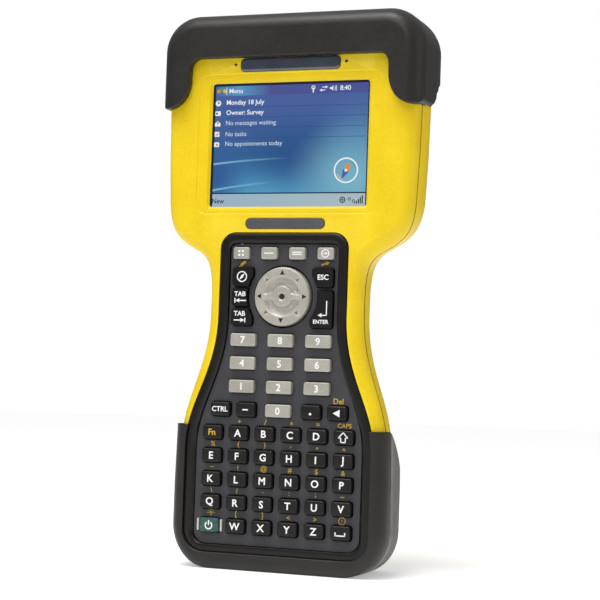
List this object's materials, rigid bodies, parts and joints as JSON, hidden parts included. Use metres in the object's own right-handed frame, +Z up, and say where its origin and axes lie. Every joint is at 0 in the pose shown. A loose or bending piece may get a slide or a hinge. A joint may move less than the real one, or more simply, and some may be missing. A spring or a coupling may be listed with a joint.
{
  "type": "handheld data collector",
  "caption": "Rugged handheld survey data collector: yellow waisted housing, black bumper and boot, colour touch screen, full keypad with a round navigation pad, rear battery and foot ports.",
  "frame": {"origin": "middle of the flat foot that the instrument stands on", "axes": "+Z up along the instrument, -Y out of the screen and keypad, +X to the right of someone facing the keypad's front view"},
  "size_m": [0.129, 0.048, 0.2602],
  "materials": {
    "yellow_housing": "fine-textured yellow moulded plastic",
    "black_rubber": "matt black overmould rubber",
    "dark_plastic": "dark grey spark-eroded plastic",
    "keypad_grey": "satin blue-grey panel",
    "silver_key": "warm silver-grey satin key cap",
    "black_key": "satin black key cap",
    "green_key": "dark green key cap",
    "badge": "glossy blue-black plate",
    "label_grey": "satin dark grey plate",
    "touch_glass": "lit screen under a clear touch film",
    "aluminium_frame": "pressed display frame",
    "circuit_board": "green solder resist",
    "cell_steel": "sleeved cells",
    "steel": "plated steel",
    "tinned_steel": "tinned shell",
    "speaker_cone": "black cone and frame",
    "stylus_plastic": "black moulded plastic"
  },
  "bodies": {
    "housing": {"front_housing": "yellow_housing", "rear_housing": "yellow_housing", "top_bumper": "black_rubber", "front_boot": "black_rubber", "rear_boot": "dark_plastic", "housing_seal": "black_rubber", "keypad_bezel": "black_rubber", "keypad_plate": "keypad_grey", "keypad_mat": "black_rubber", "keypad_board": "circuit_board", "badge_plate": "badge", "name_plate": "label_grey", "touch_panel": "touch_glass", "display_module": "aluminium_frame", "display_carrier": "dark_plastic", "main_board": "circuit_board", "backup_cell": "steel", "speaker": "speaker_cone", "card_slot": "tinned_steel", "serial_port": "tinned_steel", "usb_port": "tinned_steel", "power_jack": "black_rubber", "housing_screw_left": "steel", "housing_screw_right": "steel"},
    "soft_key_1": {"soft_key_1": "silver_key"},
    "soft_key_2": {"soft_key_2": "silver_key"},
    "soft_key_3": {"soft_key_3": "silver_key"},
    "soft_key_4": {"soft_key_4": "silver_key"},
    "key_0": {"key_0": "silver_key"},
    "key_1": {"key_1": "silver_key"},
    "key_2": {"key_2": "silver_key"},
    "key_3": {"key_3": "silver_key"},
    "key_4": {"key_4": "silver_key"},
    "key_5": {"key_5": "silver_key"},
    "key_6": {"key_6": "silver_key"},
    "key_7": {"key_7": "silver_key"},
    "key_8": {"key_8": "silver_key"},
    "key_9": {"key_9": "silver_key"},
    "app_key": {"app_key": "black_key"},
    "esc_key": {"esc_key": "black_key"},
    "tab_back_key": {"tab_back_key": "black_key"},
    "tab_forward_key": {"tab_forward_key": "black_key"},
    "enter_key": {"enter_key": "black_key"},
    "ctrl_key": {"ctrl_key": "black_key"},
    "minus_key": {"minus_key": "black_key"},
    "point_key": {"point_key": "black_key"},
    "backspace_key": {"backspace_key": "black_key"},
    "fn_to_shift_keys": {"fn_to_shift_keys": "black_key"},
    "e_to_j_keys": {"e_to_j_keys": "black_key"},
    "k_to_p_keys": {"k_to_p_keys": "black_key"},
    "q_to_v_keys": {"q_to_v_keys": "black_key"},
    "w_to_space_keys": {"w_to_space_keys": "black_key"},
    "power_key": {"power_key": "green_key"},
    "nav_gimbal": {"nav_gimbal": "steel"},
    "nav_pad": {"nav_pad": "silver_key"},
    "battery": {"battery_case": "dark_plastic", "battery_cells": "cell_steel"},
    "battery_screw_bottom": {"battery_screw_bottom": "steel"},
    "battery_screw_top": {"battery_screw_top": "steel"},
    "stylus": {"stylus": "stylus_plastic"}
  },
  "joints": [
    {"name": "nav_tilt_up_down", "type": "hinge", "parent": "housing", "child": "nav_gimbal", "pos_m": [0, -0.0157, 0.1269], "axis": [1, 0, 0], "range_deg": [-4, 4], "stiffness_Nm_per_rad": 0.3},
    {"name": "nav_tilt_left_right", "type": "hinge", "parent": "nav_gimbal", "child": "nav_pad", "pos_m": [0, -0.0157, 0.1269], "axis": [0, 0, 1], "range_deg": [-4, 4], "stiffness_Nm_per_rad": 0.3},
    {"name": "battery_removal", "type": "slide", "parent": "housing", "child": "battery", "axis": [0, 1, 0], "range_m": [0, 0.03]},
    {"name": "battery_screw_bottom_turn", "type": "hinge", "parent": "battery", "child": "battery_screw_bottom", "pos_m": [0, 0.0194, 0.079], "axis": [0, 1, 0], "range_deg": [0, 90]},
    {"name": "battery_screw_top_turn", "type": "hinge", "parent": "battery", "child": "battery_screw_top", "pos_m": [0, 0.0194, 0.143], "axis": [0, 1, 0], "range_deg": [0, 90]},
    {"name": "stylus_removal", "type": "slide", "parent": "housing", "child": "stylus", "axis": [0, 0, 1], "range_m": [0, 0.1]},
    {"name": "soft_key_1_press", "type": "slide", "parent": "housing", "child": "soft_key_1", "axis": [0, 1, 0], "range_m": [0, 0.0012], "stiffness_N_per_m": 1200},
    {"name": "soft_key_2_press", "type": "slide", "parent": "housing", "child": "soft_key_2", "axis": [0, 1, 0], "range_m": [0, 0.0012], "stiffness_N_per_m": 1200},
    {"name": "soft_key_3_press", "type": "slide", "parent": "housing", "child": "soft_key_3", "axis": [0, 1, 0], "range_m": [0, 0.0012], "stiffness_N_per_m": 1200},
    {"name": "soft_key_4_press", "type": "slide", "parent": "housing", "child": "soft_key_4", "axis": [0, 1, 0], "range_m": [0, 0.0012], "stiffness_N_per_m": 1200},
    {"name": "key_0_press", "type": "slide", "parent": "housing", "child": "key_0", "axis": [0, 1, 0], "range_m": [0, 0.0012], "stiffness_N_per_m": 1200},
    {"name": "key_1_press", "type": "slide", "parent": "housing", "child": "key_1", "axis": [0, 1, 0], "range_m": [0, 0.0012], "stiffness_N_per_m": 1200},
    {"name": "key_2_press", "type": "slide", "parent": "housing", "child": "key_2", "axis": [0, 1, 0], "range_m": [0, 0.0012], "stiffness_N_per_m": 1200},
    {"name": "key_3_press", "type": "slide", "parent": "housing", "child": "key_3", "axis": [0, 1, 0], "range_m": [0, 0.0012], "stiffness_N_per_m": 1200},
    {"name": "key_4_press", "type": "slide", "parent": "housing", "child": "key_4", "axis": [0, 1, 0], "range_m": [0, 0.0012], "stiffness_N_per_m": 1200},
    {"name": "key_5_press", "type": "slide", "parent": "housing", "child": "key_5", "axis": [0, 1, 0], "range_m": [0, 0.0012], "stiffness_N_per_m": 1200},
    {"name": "key_6_press", "type": "slide", "parent": "housing", "child": "key_6", "axis": [0, 1, 0], "range_m": [0, 0.0012], "stiffness_N_per_m": 1200},
    {"name": "key_7_press", "type": "slide", "parent": "housing", "child": "key_7", "axis": [0, 1, 0], "range_m": [0, 0.0012], "stiffness_N_per_m": 1200},
    {"name": "key_8_press", "type": "slide", "parent": "housing", "child": "key_8", "axis": [0, 1, 0], "range_m": [0, 0.0012], "stiffness_N_per_m": 1200},
    {"name": "key_9_press", "type": "slide", "parent": "housing", "child": "key_9", "axis": [0, 1, 0], "range_m": [0, 0.0012], "stiffness_N_per_m": 1200},
    {"name": "app_key_press", "type": "slide", "parent": "housing", "child": "app_key", "axis": [0, 1, 0], "range_m": [0, 0.0012], "stiffness_N_per_m": 1200},
    {"name": "esc_key_press", "type": "slide", "parent": "housing", "child": "esc_key", "axis": [0, 1, 0], "range_m": [0, 0.0012], "stiffness_N_per_m": 1200},
    {"name": "tab_back_key_press", "type": "slide", "parent": "housing", "child": "tab_back_key", "axis": [0, 1, 0], "range_m": [0, 0.0012], "stiffness_N_per_m": 1200},
    {"name": "tab_forward_key_press", "type": "slide", "parent": "housing", "child": "tab_forward_key", "axis": [0, 1, 0], "range_m": [0, 0.0012], "stiffness_N_per_m": 1200},
    {"name": "enter_key_press", "type": "slide", "parent": "housing", "child": "enter_key", "axis": [0, 1, 0], "range_m": [0, 0.0012], "stiffness_N_per_m": 1200},
    {"name": "ctrl_key_press", "type": "slide", "parent": "housing", "child": "ctrl_key", "axis": [0, 1, 0], "range_m": [0, 0.0012], "stiffness_N_per_m": 1200},
    {"name": "minus_key_press", "type": "slide", "parent": "housing", "child": "minus_key", "axis": [0, 1, 0], "range_m": [0, 0.0012], "stiffness_N_per_m": 1200},
    {"name": "point_key_press", "type": "slide", "parent": "housing", "child": "point_key", "axis": [0, 1, 0], "range_m": [0, 0.0012], "stiffness_N_per_m": 1200},
    {"name": "backspace_key_press", "type": "slide", "parent": "housing", "child": "backspace_key", "axis": [0, 1, 0], "range_m": [0, 0.0012], "stiffness_N_per_m": 1200},
    {"name": "fn_to_shift_keys_press", "type": "slide", "parent": "housing", "child": "fn_to_shift_keys", "axis": [0, 1, 0], "range_m": [0, 0.0012], "stiffness_N_per_m": 1200},
    {"name": "e_to_j_keys_press", "type": "slide", "parent": "housing", "child": "e_to_j_keys", "axis": [0, 1, 0], "range_m": [0, 0.0012], "stiffness_N_per_m": 1200},
    {"name": "k_to_p_keys_press", "type": "slide", "parent": "housing", "child": "k_to_p_keys", "axis": [0, 1, 0], "range_m": [0, 0.0012], "stiffness_N_per_m": 1200},
    {"name": "q_to_v_keys_press", "type": "slide", "parent": "housing", "child": "q_to_v_keys", "axis": [0, 1, 0], "range_m": [0, 0.0012], "stiffness_N_per_m": 1200},
    {"name": "w_to_space_keys_press", "type": "slide", "parent": "housing", "child": "w_to_space_keys", "axis": [0, 1, 0], "range_m": [0, 0.0012], "stiffness_N_per_m": 1200},
    {"name": "power_key_press", "type": "slide", "parent": "housing", "child": "power_key", "axis": [0, 1, 0], "range_m": [0, 0.0012], "stiffness_N_per_m": 1200}
  ]
}
